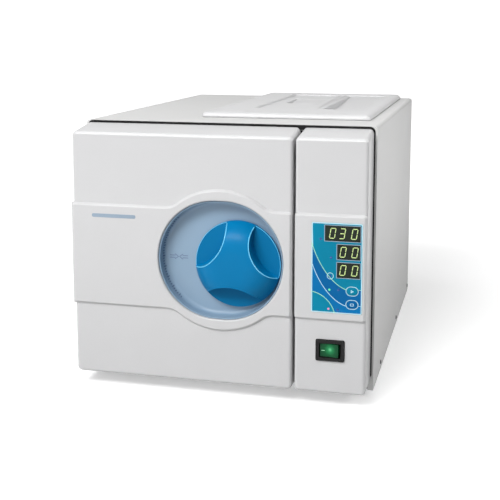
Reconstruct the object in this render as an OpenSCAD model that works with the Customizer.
// Benchtop steam autoclave with a side-hinged door, a locking knob, a control column and a top tank lid.
// Millimetres, +Z up, the front faces -Y. The origin is on the table, under the middle of case and door.
// Depths inside the modules are counted back from the case's front edge and shifted by case_front.

/* [Case] */
// Width of the case
case_w = 444; // [436:1:460]
// Depth of the case, front edge to rear edge
case_d = 576; // [570:1:600]
// Height of the case's lower edge above the table
case_low = 8; // [6:1:10]
// Height of the case's top face
case_top = 398; // [396:1:406]
// Thickness of the folded sheet
sheet = 1.5; // [1:0.1:1.8]

/* [Front] */
// How far the door and the control column stand in front of the case
front_t = 60; // [56:1:64]
// How far the raised band stands proud of the door
band_proud = 4; // [2:0.5:5]
// Lowest edge of the door and the column
front_low = 21; // [20:1:24]
// Highest edge of the front face
front_high = 386; // [382:1:388]
// Lower edge of the raised band
band_low = 128; // [120:1:132]
// Upper edge of the raised band
band_high = 281; // [276:1:286]
// Right-hand edge of the door
door_right = 112; // [110:0.5:113]
// Left-hand edge of the control column
column_left = 115.5; // [115:0.5:116]
// Wall thickness of the moulded covers
wall = 3; // [2:0.5:3.5]

/* [Dial] */
// Height of the middle of the dial opening
dial_z = 205; // [203:1:207]
// End radius of the dial opening
dial_r = 86.7; // [85:0.1:88]
// How far the dial opening's ends are set apart
dial_stretch = 12.6; // [8:0.2:14]
// Radius of the swelling of the band around the opening
swell_r = 104; // [102:1:106]
// Sideways place of the knob's axis
knob_x = 30; // [28:1:30]
// Height of the knob's axis
knob_z = 199; // [197:1:203]
// Radius of the knob's foot
knob_r = 63.5; // [60:0.5:64]

/* [Chamber] */
// Sideways place of the chamber's axis
chamber_x = -36; // [-38:1:-34]
// Height of the chamber's axis
chamber_z = 180; // [178:1:182]
// Inner radius of the chamber
chamber_r = 115; // [112:1:115]
// Depth of the chamber's straight wall
chamber_len = 350; // [340:1:360]

/* [Top lid] */
// Left edge of the lid
lid_left = -63; // [-66:1:-60]
// Right edge of the lid
lid_right = 202; // [200:1:204]
// Front edge of the lid, back from the case's front
lid_front = 78; // [74:1:82]
// Rear edge of the lid, back from the case's front
lid_rear = 551; // [548:1:554]
// Height of the lid above the case
lid_t = 9; // [8:0.5:12]

/* [Hidden] */
$fn = 64;

// Places that follow from the driving sizes
case_front = (front_t - case_d) / 2;
half_w = case_w / 2;
band_face = front_t + band_proud;
door_left = -half_w + 0.5;
door_back = 4;
column_back = 3.5;
column_right = half_w - 4.5;
hinge_x = -half_w + 9;
hinge_y = -16;
hinge_zs = [76, 292];
knuckle_r = 6;
knuckle_h = 20;
pin_r = 3;
pin_fit = 0.05;
slope_drop = 9;
dial_x = 6.5;
dial_floor = -42;
shaft_r = 6;
bolt_y = [-31, -23];
bolt_fit = 0.4;
bar_z = [knob_z + 18, knob_z + 30];
nose_z = [knob_z - 6, knob_z + 6];
bolt_slot_play = [1.5, 3.5];
seat = 1.5;
flange_r = 140;
disc_r = 132;
disc_back = -2.6;
tray_w = 164;
tray_h = 14;
tray_len = 290;
tray_front = 25;
tray_levels = [-57, -9, 39];
panel_x = [140.5, 211.5];
panel_z = [141, 269];
key_x = 198;
key_zs = [173.5, 154.5];
key_rx = 7.8;
key_rz = 5.6;
switch_x = [146.5, 188];
switch_z = [69, 100.5];
rocker_x = (switch_x[0] + switch_x[1]) / 2;
rocker_y = -54;
rocker_tilt = 6;
three_digits = [[158.8, 243.4], [208.8, 265.6]];
upper_digits = [[176.2, 217.8], [208.6, 239.2]];
lower_digits = [[176.2, 191.8], [208.6, 213.6]];
windows = [three_digits, upper_digits, lower_digits];
lamp_places = [[153, 246], [168, 220], [167, 194], [179, 174.5], [166, 174], [178, 146], [165, 146.5]];
lamp_r = 1.7;

// Fasteners and feet
side_screw_ys = [90, 332, 556];
side_screw_z = 21;
rear_screw_xs = [-206, 206];
rear_screw_zs = [40, 200, 360];
foot_xs = [-185, 185];
foot_ys = [44, 528];

// Gear
gear_module = 2;
pinion_teeth = 16;
pressure_angle = 20;
tooth_play = 0.5;
pitch_r = gear_module * pinion_teeth / 2;
base_r = pitch_r * cos(pressure_angle);
tip_r = pitch_r + 0.8 * gear_module;
root_r = pitch_r - gear_module;

// Knob
knob_front = -76;
knob_back = -45;
rim_front = -50;
scoop_r = 62.8;
scoop_reach = 92;
scoop_angles = [25, 145, 265];
scoop_floor = -49.5;

// Vessel ports
port_end = 392;
steam_port = [chamber_x, chamber_z + 60];
relief_port = [chamber_x - 50, chamber_z];
fill_port = [chamber_x + 60, chamber_z - 30];
drain_port = [chamber_x, chamber_z - 60];
ports = [steam_port, relief_port, fill_port, drain_port];
pipe_r = 4;

// Rear
rear_y = 571;
valve_x = 20;
valve_z = 350;
tap_x = 60;
tap_z = 46;
tap_y = 585;
fan_x = 158;
fan_z = 276;
fan_half = 46;
fan_hole_r = 43;
fan_screw = 41;
fuse_xs = [-104, -74];
fuse_z = 54;
pin_xs = [-162, -154, -146];

// Tank and its lid
tank_lo = [lid_left + 11, lid_front + 20, 325.5];
tank_hi = [lid_right - 14, lid_rear - 19, case_top - sheet - 0.2];
float_x = 170;
float_y = 500;
bar_x = 98;
bar_half = 11;
recess_x = [0, 178];
recess_y = [166, 510];
pocket_x = [[20, 87], [109, 168]];
pocket_y = [[318, 424], [206, 500]];
pocket_deep = [9, 12];

// 2D helpers
module round_rect(lo, hi, r) {
    translate([lo.x + r, lo.y]) square([hi.x - lo.x - 2 * r, hi.y - lo.y]);
    translate([lo.x, lo.y + r]) square([hi.x - lo.x, hi.y - lo.y - 2 * r]);
    for (x = [lo.x + r, hi.x - r], y = [lo.y + r, hi.y - r]) translate([x, y]) circle(r);
}
module oval(x, y, r, stretch) {
    for (s = [-1, 1]) translate([x + s * stretch / 2, y]) circle(r, $fn = 128);
    translate([x - stretch / 2, y - r]) square([stretch, 2 * r]);
}

// 3D helpers, with depth counted back from the case's front edge
module along_y(from, to) translate([0, case_front + to, 0]) rotate([90, 0, 0])
    linear_extrude(to - from) children();
module along_x(from, to) translate([from, case_front, 0]) rotate([90, 0, 90])
    linear_extrude(to - from) children();
module along_z(from, to) translate([0, case_front, from]) linear_extrude(to - from) children();
module block(lo, hi) translate([lo.x, lo.y + case_front, lo.z]) cube(hi - lo);
module rod_y(x, z, r, from, to) along_y(from, to) translate([x, z]) circle(r);
module rod_x(y, z, r, from, to) along_x(from, to) translate([y, z]) circle(r);
module rod_z(x, y, r, from, to) along_z(from, to) translate([x, y]) circle(r);
module turned(x, z) translate([x, case_front, z]) rotate([-90, 0, 0]) rotate_extrude($fn = 96) children();
module pipe(points, r) {
    for (i = [0 : len(points) - 2]) {
        a = points[i];
        b = points[i + 1];
        if (a.x != b.x) rod_x(a.y, a.z, r, min(a.x, b.x), max(a.x, b.x));
        if (a.y != b.y) rod_y(a.x, a.z, r, min(a.y, b.y), max(a.y, b.y));
        if (a.z != b.z) rod_z(a.x, a.y, r, min(a.z, b.z), max(a.z, b.z));
        if (i > 0) translate([a.x, a.y + case_front, a.z]) sphere(r + 1.2);
    }
}

// The front covers' side outline: an upright face with a sloping roof
module cover_profile(inset, back) {
    polygon([
        [-front_t + inset, front_low + inset], [back, front_low + inset],
        [back, front_high + slope_drop - inset], [-front_t + 8 + inset, front_high - inset],
        [-front_t + inset, front_high - 5 - inset]
    ]);
}
module cover_block(x0, x1, inset, back) {
    intersection() {
        along_x(x0 + inset, x1 - inset) cover_profile(inset, back);
        along_y(-front_t - 1, back + 1)
            round_rect([x0 + inset, front_low + inset], [x1 - inset, front_high + slope_drop + 9], 4);
    }
}

// Case
module case_outline(t) {
    r = 6 - t;
    translate([-half_w + t, case_low - 1]) square([case_w - 2 * t, case_top - case_low - 5]);
    translate([-half_w + 6, case_low - 1]) square([case_w - 12, case_top - case_low + 1 - t]);
    for (s = [-1, 1]) translate([s * (half_w - 6), case_top - 6]) circle(r);
}
module outer_case() color("gainsboro") difference() {
    union() {
        difference() {
            along_y(0, case_d) case_outline(0);
            along_y(-1, case_d + 1) case_outline(sheet);
        }
        difference() {
            along_y(0, sheet) case_outline(0);
            along_y(-1, sheet + 1)
                translate([-half_w + 8.5, 0]) square([case_w - 17, case_top - 8.5]);
        }
    }
    block([-half_w - 1, -1, 0], [half_w + 1, case_d + 1, case_low]);
    block([lid_left + 13, lid_front + 17, case_top - 5], [lid_right - 12, lid_rear - 16, case_top + 1]);
    for (y = side_screw_ys) rod_x(y, side_screw_z, 2.2, -half_w - 1, half_w + 1);
}
module base_plate() color("silver") difference() {
    union() {
        block([-half_w + 1.7, 4, case_low], [half_w - 1.7, 569, case_low + sheet]);
        for (s = [-1, 1]) {
            x = s * (half_w - 1.7 - sheet / 2);
            block([x - sheet / 2, 4, case_low], [x + sheet / 2, 569, 34]);
        }
    }
    for (y = side_screw_ys) rod_x(y, side_screw_z, 1.7, -half_w - 1, half_w + 1);
    for (x = foot_xs, y = foot_ys) rod_z(x, y, 3.2, case_low - 1, case_low + 3);
    for (i = [0 : 7]) block([-150 + 40 * i, 410, 0], [-134 + 40 * i, 470, case_low + 3]);
}
module rear_panel() color("gainsboro") difference() {
    along_y(rear_y - sheet, rear_y)
        round_rect([-half_w + 1.9, case_low + 0.2], [half_w - 1.9, case_top - 1.9], 4);
    rod_y(fan_x, fan_z, fan_hole_r, 560, 580);
    for (i = [0 : 11]) along_y(560, 580) oval(-150, 120 + 12 * i, 2.5, 70);
    block([-178, 560, 40], [-130, 580, 68]);
    for (x = fuse_xs) rod_y(x, fuse_z, 7.2, 560, 580);
    rod_y(valve_x, valve_z, 9.2, 560, 580);
    rod_y(tap_x, tap_z, 8.2, 560, 580);
    for (x = rear_screw_xs, z = rear_screw_zs) rod_y(x, z, 1.7, 560, 580);
}
module side_screws() color("dimgray") for (s = [-1, 1], y = side_screw_ys) {
    x = s * half_w;
    rod_x(y, side_screw_z, 3.6, min(x, x + s * 1.6), max(x, x + s * 1.6));
    rod_x(y, side_screw_z, 1.6, min(x - s * 8, x + s * 0.5), max(x - s * 8, x + s * 0.5));
}
module rear_screws() color("dimgray") for (x = rear_screw_xs, z = rear_screw_zs) {
    rod_y(x, z, 3.4, rear_y, rear_y + 2);
    rod_y(x, z, 1.6, rear_y - 9, rear_y + 0.5);
}
module rubber_feet() color("black") for (x = foot_xs, y = foot_ys) {
    translate([x, y + case_front, 0]) cylinder(r1 = 15, r2 = 17, h = case_low);
    rod_z(x, y, 3, case_low - 1, case_low + 6);
}
module front_frame() color("silver") difference() {
    along_y(seat, seat + 2) round_rect([-half_w + 1.9, case_low + 1.8], [half_w - 1.9, case_top - 1.9], 4);
    rod_y(chamber_x, chamber_z, flange_r + 1, -5, 10);
    block([128, -5, 244], [206, 10, 340]);
    block([128, -5, 48], [206, 10, 160]);
}

// Control column
module window_hole(w, gap)
    block([w[0].x - gap, -70, w[0].y - gap], [w[1].x + gap, -50, w[1].y + gap]);
module bolt_slot(x0, x1) block(
    [x0, bolt_y[0] - bolt_slot_play[0], nose_z[0] - bolt_slot_play[1]],
    [x1, bolt_y[1] + bolt_slot_play[0], nose_z[1] + bolt_slot_play[1]]
);
module column_cover() color("gainsboro") difference() {
    union() {
        difference() {
            union() {
                cover_block(column_left, column_right, 0, -column_back);
                along_y(-band_face, -front_t + 1)
                    round_rect([column_left, band_low], [column_right, band_high], 2);
            }
            cover_block(column_left, column_right, wall, 5);
        }
        for (z = [60, 340], x = [column_left + 9, column_right - 10]) rod_y(x, z, 5, -front_t + 1, seat);
    }
    along_y(-band_face - 1, -band_face + 0.6)
        round_rect([panel_x[0] - 0.2, panel_z[0] - 0.2], [panel_x[1] + 0.2, panel_z[1] + 0.2], 2.2);
    for (w = windows) window_hole(w, 1.2);
    for (z = key_zs) rod_y(key_x, z, 4, -70, -50);
    for (p = lamp_places) rod_y(p.x, p.y, lamp_r + 0.2, -70, -50);
    block([switch_x[0] + 2.5, -70, switch_z[0] + 2.5], [switch_x[1] - 2.5, -50, switch_z[1] - 2.5]);
    bolt_slot(column_left - 1, column_left + 5);
}
module control_membrane() color("dodgerblue") difference() {
    along_y(-band_face - 0.6, -band_face + 0.6)
        round_rect([panel_x[0], panel_z[0]], [panel_x[1], panel_z[1]], 2);
    for (w = windows) window_hole(w, 0.2);
    for (z = key_zs) along_y(-70, -50) oval(key_x, z, key_rz + 0.3, 2 * (key_rx - key_rz));
    for (p = lamp_places) rod_y(p.x, p.y, lamp_r + 0.2, -70, -50);
}
module display(w) color("darkslategray") {
    block([w[0].x, -band_face - 0.2, w[0].y], [w[1].x, -53, w[1].y]);
    for (x = [w[0].x + 4 : 5 : w[1].x - 4], z = [w[0].y + 2, w[1].y - 2]) rod_y(x, z, 0.4, -53.5, -50.5);
}
module three_digit_display() display(three_digits);
module upper_two_digit_display() display(upper_digits);
module lower_two_digit_display() display(lower_digits);
module control_board() color("seagreen") difference() {
    block([124, -50.5, 112], [213, -48.9, 276]);
    for (x = [130, 209], z = [120, 270]) rod_y(x, z, 1.6, -60, -40);
}
module status_lamps() color("royalblue") for (p = lamp_places) {
    rod_y(p.x, p.y, lamp_r, -band_face - 0.7, -51);
    rod_y(p.x, p.y, lamp_r + 0.7, -52.5, -50.5);
}
module press_key(z) color("deepskyblue") {
    along_y(-band_face - 1.4, -band_face - 0.1) oval(key_x, z, key_rz, 2 * (key_rx - key_rz));
    rod_y(key_x, z, 3, -band_face - 1, -51.7);
}
module upper_key() press_key(key_zs[0]);
module lower_key() press_key(key_zs[1]);
module power_switch_body() color("black") difference() {
    union() {
        along_y(-front_t - 2.5, -front_t)
            round_rect([switch_x[0], switch_z[0]], [switch_x[1], switch_z[1]], 2.5);
        block([switch_x[0] + 3, -front_t - 1, switch_z[0] + 3], [switch_x[1] - 3, -33, switch_z[1] - 3]);
        for (x = [-9.25, 0, 9.25]) block([rocker_x + x - 0.4, -34, 82], [rocker_x + x + 0.4, -25, 88]);
    }
    block([switch_x[0] + 6, -70, switch_z[0] + 6], [switch_x[1] - 6, -48, switch_z[1] - 6]);
    rod_z(rocker_x, rocker_y, 1.55, switch_z[0] + 4, switch_z[1] - 4);
}
module power_rocker() color("green") {
    half = 13.2;
    translate([rocker_x, rocker_y + case_front, switch_z[0] + 6.5]) rotate(-rocker_tilt)
        linear_extrude(switch_z[1] - switch_z[0] - 13) polygon([
            [-half, -9.2], [0, -7.6], [half, -9.2], [half, -3], [half - 2, 3.4], [2 - half, 3.4], [-half, -3]
        ]);
    rod_z(rocker_x, rocker_y, 1.5, switch_z[0] + 4.4, switch_z[1] - 4.4);
}
module latch_keeper() color("silver") difference() {
    union() {
        block([120, -38, 178], [123, seat, 222]);
        block([120, -1.2, 178], [150, seat, 222]);
    }
    block([110, bolt_y[0] - 1.5, nose_z[0] - 2.5], [130, bolt_y[1] + 1.5, nose_z[1] + 2.5]);
}
module door_switch() color("dimgray") {
    block([139.5, -19, 190], [149, -1.2, 210]);
    block([138.2, -18, 192], [139.5, -16.6, 208]);
}

// Hinges on the left
module fixed_hinge_leaves() color("silver") for (z = hinge_zs) difference() {
    union() {
        rod_z(hinge_x, hinge_y, knuckle_r, z, z + knuckle_h);
        block([hinge_x + 0.5, hinge_y, z], [hinge_x + 6, seat, z + knuckle_h]);
        block([hinge_x + 0.5, -1.2, z], [hinge_x + 22, seat, z + knuckle_h]);
    }
    rod_z(hinge_x, hinge_y, pin_r + pin_fit, z - 1, z + knuckle_h + 1);
}
module hinge_pins() color("gray") for (z = hinge_zs) {
    rod_z(hinge_x, hinge_y, pin_r, z - 2, z + 2 * knuckle_h + 2.4);
    rod_z(hinge_x, hinge_y, pin_r + 1.8, z - 3.5, z - 0.5);
}
module door_hinge_leaves() color("silver") for (z = hinge_zs) {
    low = z + knuckle_h + 0.4;
    difference() {
        union() {
            rod_z(hinge_x, hinge_y, knuckle_r, low, low + knuckle_h);
            block([hinge_x, hinge_y - 0.5, low], [hinge_x + 40, hinge_y + 2.5, low + knuckle_h]);
        }
        rod_z(hinge_x, hinge_y, pin_r + pin_fit, low - 1, low + knuckle_h + 1);
    }
}

// Door
module band_outline(x0, x1) {
    round_rect([x0, band_low], [x1, band_high], 2);
    translate([dial_x, dial_z]) circle(swell_r, $fn = 128);
}
module hinge_notches(x) for (z = hinge_zs)
    block([-half_w - 2, hinge_y - 9.5, z - 5], [x, 1, z + 2 * knuckle_h + 4]);
module door_cover() color("gainsboro") difference() {
    union() {
        difference() {
            union() {
                cover_block(door_left, door_right, 0, -door_back);
                along_y(-band_face, -front_t + 1) band_outline(door_left, door_right);
            }
            cover_block(door_left, door_right, wall, 5);
        }
        for (x = [-180, 98], z = [40, 366]) rod_y(x, z, 6, -front_t + 1, -13.5);
    }
    along_y(-80, -40) oval(dial_x, dial_z, dial_r, dial_stretch);
    hinge_notches(hinge_x + 7.5);
    bolt_slot(100, door_right + 1);
}
module dial_plate() color("lightsteelblue") difference() {
    union() {
        along_y(-band_face + 1.5, dial_floor + 2) oval(dial_x, dial_z, dial_r - 0.4, dial_stretch);
        along_y(-front_t + wall + 0.2, -front_t + wall + 2.2) oval(dial_x, dial_z, dial_r + 9, dial_stretch);
    }
    along_y(-80, dial_floor) oval(dial_x, dial_z, dial_r - 2, dial_stretch);
    rod_y(knob_x, knob_z, shaft_r + 3, -60, -30);
}
module door_backplate() color("silver") difference() {
    union() {
        along_y(-13.5, -11.5) round_rect([hinge_x + 9, 30], [door_right - 5, 374], 6);
        rod_y(knob_x, knob_z, 15, -20, -12);
    }
    rod_y(knob_x, knob_z, shaft_r + pin_fit, -40, 0);
    rod_y(chamber_x, chamber_z, 8.2, -40, 0);
}
module bolt_guides() color("silver") {
    for (g = [[-22, bar_z], [89, nose_z]]) difference() {
        block([g[0], bolt_y[0] - 3, g[1][0] - 3.5], [g[0] + 10, -13.5, g[1][1] + 3.5]);
        block([g[0] - 1, bolt_y[0] - bolt_fit, g[1][0] - bolt_fit],
              [g[0] + 11, bolt_y[1] + bolt_fit, g[1][1] + bolt_fit]);
    }
}
module pressure_disc() color("silver") turned(chamber_x, chamber_z) polygon([
    [0, -9], [24, -9], [28, -8], [104, -8], [112, disc_back - 4], [disc_r - 1, disc_back - 4],
    [disc_r, disc_back - 3], [disc_r, disc_back], [110, disc_back], [102, -5], [0, -5]
]);
module disc_stud() color("gray") {
    rod_y(chamber_x, chamber_z, 8, -24, -9);
    along_y(-21, -13.5) translate([chamber_x, chamber_z]) circle(14, $fn = 6);
}

// Locking gear: the knob's pinion drives the rack on the bolt
function involute(a) = tan(a) * 180 / PI - a;
function half_angle(r) = (PI * gear_module / 2 - tooth_play) / (2 * pitch_r) * 180 / PI
    + involute(pressure_angle) - involute(acos(min(1, base_r / r)));
function flank(side) = [for (i = [0 : 4]) let (r = base_r + (tip_r - base_r) * i / 4)
    r * [side * sin(half_angle(r)), cos(half_angle(r))]];
module pinion_tooth() {
    up = flank(-1);
    down = flank(1);
    foot = half_angle(base_r);
    polygon(concat(
        [(root_r - 1) * [-sin(foot), cos(foot)]], up, [for (i = [4 : -1 : 0]) down[i]],
        [(root_r - 1) * [sin(foot), cos(foot)]]
    ));
}
module pinion_shaft() color("gray") {
    rod_y(knob_x, knob_z, shaft_r, -52, -11.5);
    along_y(-32, -22) translate([knob_x, knob_z]) {
        circle(root_r);
        for (i = [0 : pinion_teeth - 1]) rotate(i * 360 / pinion_teeth) pinion_tooth();
    }
}
module rack_tooth() {
    half = (PI * gear_module / 2 - tooth_play) / 2;
    lean = 0.8 * gear_module * tan(pressure_angle);
    polygon([[-half + lean, -0.8 * gear_module], [half - lean, -0.8 * gear_module],
        [half + lean * 1.4, 1.12 * gear_module], [-half - lean * 1.4, 1.12 * gear_module]]);
}
module latch_bolt() color("gray") {
    pitch = PI * gear_module;
    along_y(bolt_y[0], bolt_y[1]) {
        translate([-50, bar_z[0]]) square([112, bar_z[1] - bar_z[0]]);
        translate([50, nose_z[0]]) square([12, bar_z[1] - nose_z[0]]);
        translate([50, nose_z[0]]) square([door_right - 51.5, nose_z[1] - nose_z[0]]);
        for (i = [-6 : 1]) translate([knob_x + (i + 0.5) * pitch, knob_z + pitch_r]) rack_tooth();
    }
}
module locking_knob() color("deepskyblue") difference() {
    turned(knob_x, knob_z) polygon(concat(
        [for (i = [0 : 12]) [knob_r * i / 12, knob_front + (rim_front - knob_front) * pow(i / 12, 4)]],
        [[knob_r, knob_back], [0, knob_back]]
    ));
    for (a = scoop_angles)
        rod_y(knob_x + scoop_reach * cos(a), knob_z + scoop_reach * sin(a), scoop_r, -90, scoop_floor);
    rod_y(knob_x, knob_z, shaft_r + pin_fit, -52, -40);
}

// Vessel
function dome(r, depth, steps) = [for (i = [0 : steps]) let (a = 90 * i / steps)
    [r * cos(a), chamber_len + depth * sin(a)]];
module chamber() color("silver") difference() {
    union() {
        turned(chamber_x, chamber_z) polygon(concat(
            [[chamber_r, 0], [chamber_r + 2.5, 0]], dome(chamber_r + 2.5, 38, 8),
            [for (i = [8 : -1 : 0]) dome(chamber_r, 35.5, 8)[i]]
        ));
        for (p = ports) rod_y(p.x, p.y, 8, 371, port_end);
    }
    turned(chamber_x, chamber_z) square([chamber_r - 40, chamber_len]);
    for (p = ports) rod_y(p.x, p.y, 4, 340, port_end + 1);
}
module chamber_flange() color("silver") turned(chamber_x, chamber_z) polygon([
    [chamber_r + 2.6, 0], [119.4, 0], [119.4, 6], [127.6, 6], [127.6, 0], [flange_r - 1, 0], [flange_r, 1],
    [flange_r, 12], [chamber_r + 2.6, 12]
]);
module door_seal() color("whitesmoke") turned(chamber_x, chamber_z) polygon([
    [119.6, 5.8], [119.6, 0], [121.5, -2.2], [123, -0.4], [124.4, -0.4], [125.6, -2.2], [127.4, 0], [127.4, 5.8]
]);
module band_heaters() color("darkgoldenrod") for (y = [60, 220]) {
    turned(chamber_x, chamber_z) translate([chamber_r + 2.8, y]) square([3, 50]);
}
module insulation_jacket() color("lightyellow") {
    turned(chamber_x, chamber_z) translate([chamber_r + 6.2, 13]) square([20, chamber_len - 20]);
}
module chamber_cradles() color("gray") for (y = [110, 290]) difference() {
    union() {
        along_y(y, y + 2.5) polygon([
            [chamber_x - 120, case_low + sheet], [chamber_x + 120, case_low + sheet],
            [chamber_x + 134, 120], [chamber_x - 134, 120]
        ]);
        block([chamber_x - 120, y, case_low + sheet], [chamber_x + 120, y + 24, case_low + sheet + 2.5]);
    }
    rod_y(chamber_x, chamber_z, chamber_r + 26.3, y - 10, y + 30);
}
module tray_rack() color("lightgray") {
    for (s = [-1, 1]) {
        x = chamber_x + s * (tray_w / 2 + 2);
        difference() {
            block([x - 0.75, 30, chamber_z - 74], [x + 0.75, 322, chamber_z + 62]);
            for (y = [46 : 46 : 276], z = [-44, 4, 42])
                block([x - 5, y, chamber_z + z], [x + 5, y + 30, chamber_z + z + (z == 42 ? 12 : 26)]);
        }
        for (z = tray_levels) {
            a = x - s * 0.75;
            b = x - s * 10;
            block([min(a, b), 30, chamber_z + z - 1.7], [max(a, b), 322, chamber_z + z - 0.2]);
        }
    }
    for (y = [38, 314], z = [-70, 60])
        rod_x(y, chamber_z + z, 2, chamber_x - tray_w / 2 - 2, chamber_x + tray_w / 2 + 2);
}
module tray(level) color("silver") {
    low = chamber_z + tray_levels[level];
    half = tray_w / 2;
    difference() {
        block([chamber_x - half, tray_front, low], [chamber_x + half, tray_front + tray_len, low + tray_h]);
        block([chamber_x - half + 1, tray_front + 1, low + 1],
              [chamber_x + half - 1, tray_front + tray_len - 1, low + tray_h + 1]);
        for (x = [-60 : 20 : 60], y = [30 : 30 : 260])
            rod_z(chamber_x + x, tray_front + y, 3, low - 1, low + 2);
    }
}
module lower_tray() tray(0);
module middle_tray() tray(1);
module upper_tray() tray(2);

// Water and steam
module water_tank() color("ivory") difference() {
    union() {
        block(tank_lo, tank_hi);
        block([tank_lo.x - 8, tank_lo.y - 8, tank_hi.z - 3], [tank_hi.x + 8, tank_hi.y + 8, tank_hi.z]);
    }
    block(tank_lo + [3, 3, 3], tank_hi + [-3, -3, 1]);
    rod_z(float_x, float_y, 4.1, 320, 330);
}
module float_sensor() color("white") {
    rod_z(float_x, float_y, 4, 320, 372);
    rod_z(float_x, float_y, 9, 340, 356);
}
module condenser() color("sandybrown") {
    for (x = [130 : 8 : 202]) block([x, 500, 230], [x + 1, 534, 318]);
    for (z = [242, 262, 286, 306]) rod_x(517, z, 4, 124, 210);
    for (z = [252, 296]) block([206, 512, z - 14], [214, 522, z + 14]);
}
module fan_frame() color("dimgray") difference() {
    block([fan_x - fan_half, 544, fan_z - fan_half], [fan_x + fan_half, 569, fan_z + fan_half]);
    difference() {
        rod_y(fan_x, fan_z, fan_hole_r, 540, 575);
        rod_y(fan_x, fan_z, 15, 564, 569);
        for (a = [45, 135]) translate([fan_x, case_front + 566.5, fan_z]) rotate([0, a, 0])
            cube([100, 4, 5], center = true);
    }
    rod_y(fan_x, fan_z, 2.5, 540, 575);
    for (x = [-1, 1], z = [-1, 1]) rod_y(fan_x + x * fan_screw, fan_z + z * fan_screw, 2, 540, 575);
}
module fan_rotor() color("black") {
    rod_y(fan_x, fan_z, 14, 547, 563);
    rod_y(fan_x, fan_z, 2.45, 560, 568.5);
    for (a = [0 : 60 : 300]) translate([fan_x, case_front + 555, fan_z]) rotate([0, a, 0])
        translate([26.5, 0, 0]) rotate([35, 0, 0]) cube([29, 2, 13], center = true);
}
module fan_guard() color("silver") {
    for (r = [12, 24, 36]) turned(fan_x, fan_z) translate([r, 573]) circle(1, $fn = 16);
    for (a = [0, 90]) translate([fan_x, case_front + 573, fan_z]) rotate([0, a + 45, 0])
        cube([2 * fan_screw * sqrt(2), 1.6, 2.4], center = true);
    for (x = [-1, 1], z = [-1, 1])
        rod_y(fan_x + x * fan_screw, fan_z + z * fan_screw, 4.5, rear_y, rear_y + 3);
}
module water_pump() color("steelblue") {
    rod_y(160, 52, 26, 400, 462);
    block([138, 462, 30], [182, 496, 74]);
    rod_z(160, 480, 6, 74, 84);
    block([134, 405, case_low + sheet], [186, 455, 30]);
}
module solenoid_valves() color("goldenrod") for (y = [200, 290]) {
    block([136, y, 150], [166, y + 40, 168]);
    rod_z(151, y + 20, 14, 168, 200);
    block([166, y + 12, 152], [214, y + 28, 166]);
}
module steam_pipes() color("peru") {
    pipe([[steam_port.x, port_end, steam_port.y], [steam_port.x, 412, steam_port.y],
        [128, 412, steam_port.y], [128, 220, steam_port.y], [128, 220, 159], [136, 220, 159]], pipe_r);
    pipe([[136, 310, 159], [116, 310, 159], [116, 517, 159], [116, 517, 242], [124, 517, 242]], pipe_r);
    pipe([[160, 480, 84], [160, 480, 118], [fill_port.x, 480, 118], [fill_port.x, 480, fill_port.y],
        [fill_port.x, port_end, fill_port.y]], pipe_r);
    pipe([[relief_port.x, port_end, relief_port.y], [relief_port.x, 546, relief_port.y],
        [relief_port.x, 546, valve_z], [valve_x, 546, valve_z], [valve_x, 556, valve_z]], pipe_r);
    pipe([[drain_port.x, port_end, drain_port.y], [drain_port.x, 500, drain_port.y],
        [drain_port.x, 500, tap_z], [tap_x, 500, tap_z], [tap_x, 540, tap_z]], pipe_r);
}
module power_board() color("darkgreen") {
    block([211, 60, 60], [213, 180, 300]);
    block([186, 80, 80], [211, 130, 130]);
    block([191, 140, 90], [211, 170, 150]);
    for (z = [180, 220, 260]) block([195, 90, z - 14], [211, 125, z + 14]);
}
module power_inlet() color("black") difference() {
    union() {
        along_y(rear_y, rear_y + 3) round_rect([-183, 37], [-125, 71], 3);
        block([-177.8, 545, 40.2], [-130.2, 572, 67.8]);
        for (x = pin_xs) block([x - 1, 538, 52], [x + 1, 546, 58]);
    }
    difference() {
        block([-170, 553, 44.5], [-138, 575, 63.5]);
        for (x = pin_xs) block([x - 1, 552, 52], [x + 1, 568, 56]);
    }
}
module fuse_holders() color("black") for (x = fuse_xs) {
    rod_y(x, fuse_z, 7, 540, rear_y + 1);
    rod_y(x, fuse_z, 9.5, rear_y, rear_y + 3);
    rod_y(x, fuse_z, 5.5, rear_y + 2, rear_y + 10);
}
module safety_valve_body() color("goldenrod") difference() {
    union() {
        rod_y(valve_x, valve_z, 9, 556, 580);
        along_y(rear_y, rear_y + 6) translate([valve_x, valve_z]) circle(13, $fn = 6);
    }
    rod_y(valve_x, valve_z, 3.3, 565, 590);
}
module safety_valve_ring() color("silver") {
    rod_y(valve_x, valve_z, 3, 568, 589);
    rod_y(valve_x, valve_z, 6, 580.6, 583.6);
    translate([valve_x, case_front + 593, valve_z]) rotate([0, 90, 0]) rotate_extrude($fn = 48)
        translate([5.6, 0]) circle(1.4, $fn = 20);
}
module drain_tap_body() color("goldenrod") difference() {
    union() {
        rod_y(tap_x, tap_z, 8, 540, 580);
        rod_z(tap_x, tap_y, 7, 30, 55);
        rod_y(tap_x, tap_z, 6, 576, 590);
        along_y(rear_y, rear_y + 4) translate([tap_x, tap_z]) circle(12, $fn = 6);
    }
    rod_z(tap_x, tap_y, 3 + pin_fit, 44, 60);
    rod_z(tap_x, tap_y, 4.5, 25, 40);
}
module drain_tap_lever() color("firebrick") {
    rod_z(tap_x, tap_y, 3, 45, 58);
    rod_z(tap_x, tap_y, 6.5, 55.4, 60);
    block([tap_x - 2, tap_y - 3, 56.5], [tap_x + 34, tap_y + 3, 59.5]);
}

// Finger pocket whose floor rises from its deep front end to the recess at the back
module lid_pocket(x, y, top, deep) along_x(x[0], x[1]) polygon([
    [y[0], top + 4], [y[0], top], [y[0] + 2, top - deep], [y[1], top - 0.8], [y[1], top + 4]
]);

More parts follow.
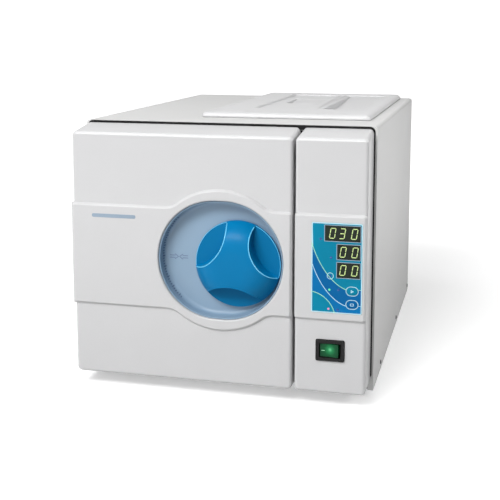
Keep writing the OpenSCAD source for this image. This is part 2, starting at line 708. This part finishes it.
// Lid of the water tank
module top_lid() color("gainsboro") {
    z0 = case_top + 0.2;
    z1 = case_top + lid_t;
    difference() {
        union() {
            intersection() {
                block([lid_left, lid_front, z0], [lid_right, lid_rear, z1]);
                along_x(lid_left - 1, lid_right + 1) polygon([
                    [lid_front, z0], [lid_rear, z0], [lid_rear, z1 - 2.5], [lid_rear - 3.5, z1],
                    [lid_front + 3.5, z1], [lid_front, z1 - 2.5]
                ]);
                along_y(lid_front - 1, lid_rear + 1) polygon([
                    [lid_left, z0], [lid_right, z0], [lid_right, z1 - 2.5], [lid_right - 3.5, z1],
                    [lid_left + 3.5, z1], [lid_left, z1 - 2.5]
                ]);
            }
            block([recess_x[0] - 3, recess_y[0] - 3, z0 - 12], [recess_x[1] + 3, recess_y[1] + 3, z1 - 1]);
        }
        along_z(z1 - 3.5, z1 + 1) round_rect([recess_x[0], recess_y[0]], [recess_x[1], recess_y[1]], 8);
        for (i = [0, 1]) lid_pocket(pocket_x[i], pocket_y[i], z1 - 3.5, pocket_deep[i]);
    }
    block([bar_x - bar_half, recess_y[0] + 10, z1 - 8], [bar_x + bar_half, recess_y[1] - 10, z1 - 0.5]);
}

outer_case();
base_plate();
rear_panel();
side_screws();
rear_screws();
rubber_feet();
front_frame();
column_cover();
control_membrane();
three_digit_display();
upper_two_digit_display();
lower_two_digit_display();
control_board();
status_lamps();
power_switch_body();
latch_keeper();
door_switch();
fixed_hinge_leaves();
hinge_pins();
chamber();
chamber_flange();
door_seal();
band_heaters();
insulation_jacket();
chamber_cradles();
tray_rack();
water_tank();
float_sensor();
condenser();
fan_frame();
fan_guard();
water_pump();
solenoid_valves();
steam_pipes();
power_board();
power_inlet();
fuse_holders();
safety_valve_body();
drain_tap_body();
door_cover();
dial_plate();
door_backplate();
door_hinge_leaves();
bolt_guides();
pressure_disc();
disc_stud();
locking_knob();
pinion_shaft();
latch_bolt();
lower_tray();
middle_tray();
upper_tray();
upper_key();
lower_key();
power_rocker();
top_lid();
fan_rotor();
drain_tap_lever();
safety_valve_ring();
